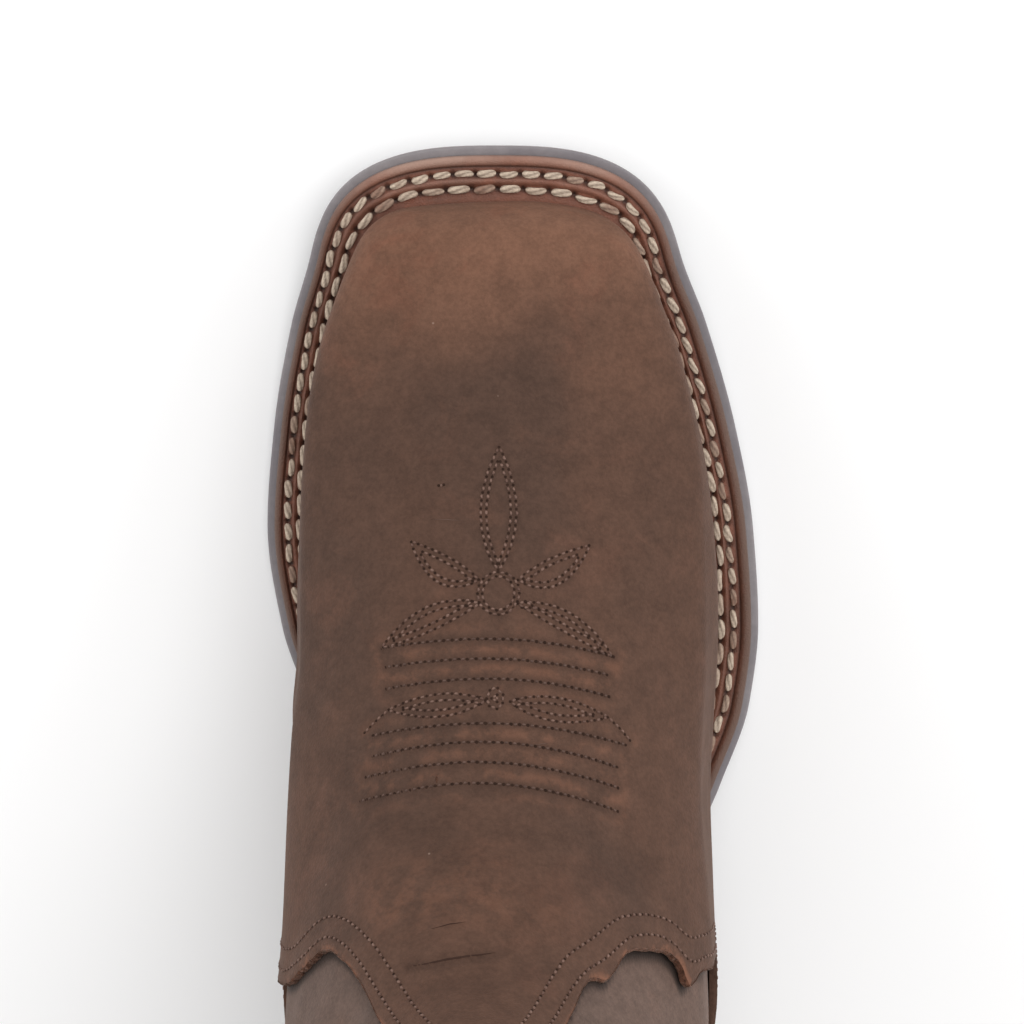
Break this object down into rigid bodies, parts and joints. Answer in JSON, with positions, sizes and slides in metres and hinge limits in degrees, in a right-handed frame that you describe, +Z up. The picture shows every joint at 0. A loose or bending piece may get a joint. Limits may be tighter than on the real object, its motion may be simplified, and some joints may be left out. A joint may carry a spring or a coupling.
{
  "type": "western boot",
  "caption": "Right western boot with a broad square toe, a stitched welt, a stacked heel and a tall shaft with pull straps.",
  "frame": {"origin": "middle of the heel's ground face, on the floor the boot stands on", "axes": "+Z up, toe towards -Y, inner side of this right boot towards +X"},
  "size_m": [0.1196, 0.3193, 0.3644],
  "materials": {
    "outsole_rubber": "matt",
    "welt_leather": "satin",
    "stacked_leather": "satin",
    "cap_rubber": "matt",
    "insole_leather": "matt",
    "shaft_leather": "matt, oiled",
    "vamp_leather": "matt, oiled",
    "trim_leather": "matt, oiled"
  },
  "bodies": {
    "root": {"outsole": "outsole_rubber", "welt": "welt_leather", "heel_stack": "stacked_leather", "heel_cap": "cap_rubber", "insole": "insole_leather", "upper": "shaft_leather", "vamp": "vamp_leather", "heel_counter": "vamp_leather", "side_seam_inner": "shaft_leather", "side_seam_outer": "shaft_leather", "collar_binding": "trim_leather", "pull_strap_inner": "trim_leather", "pull_strap_outer": "trim_leather"}
  },
  "joints": []
}
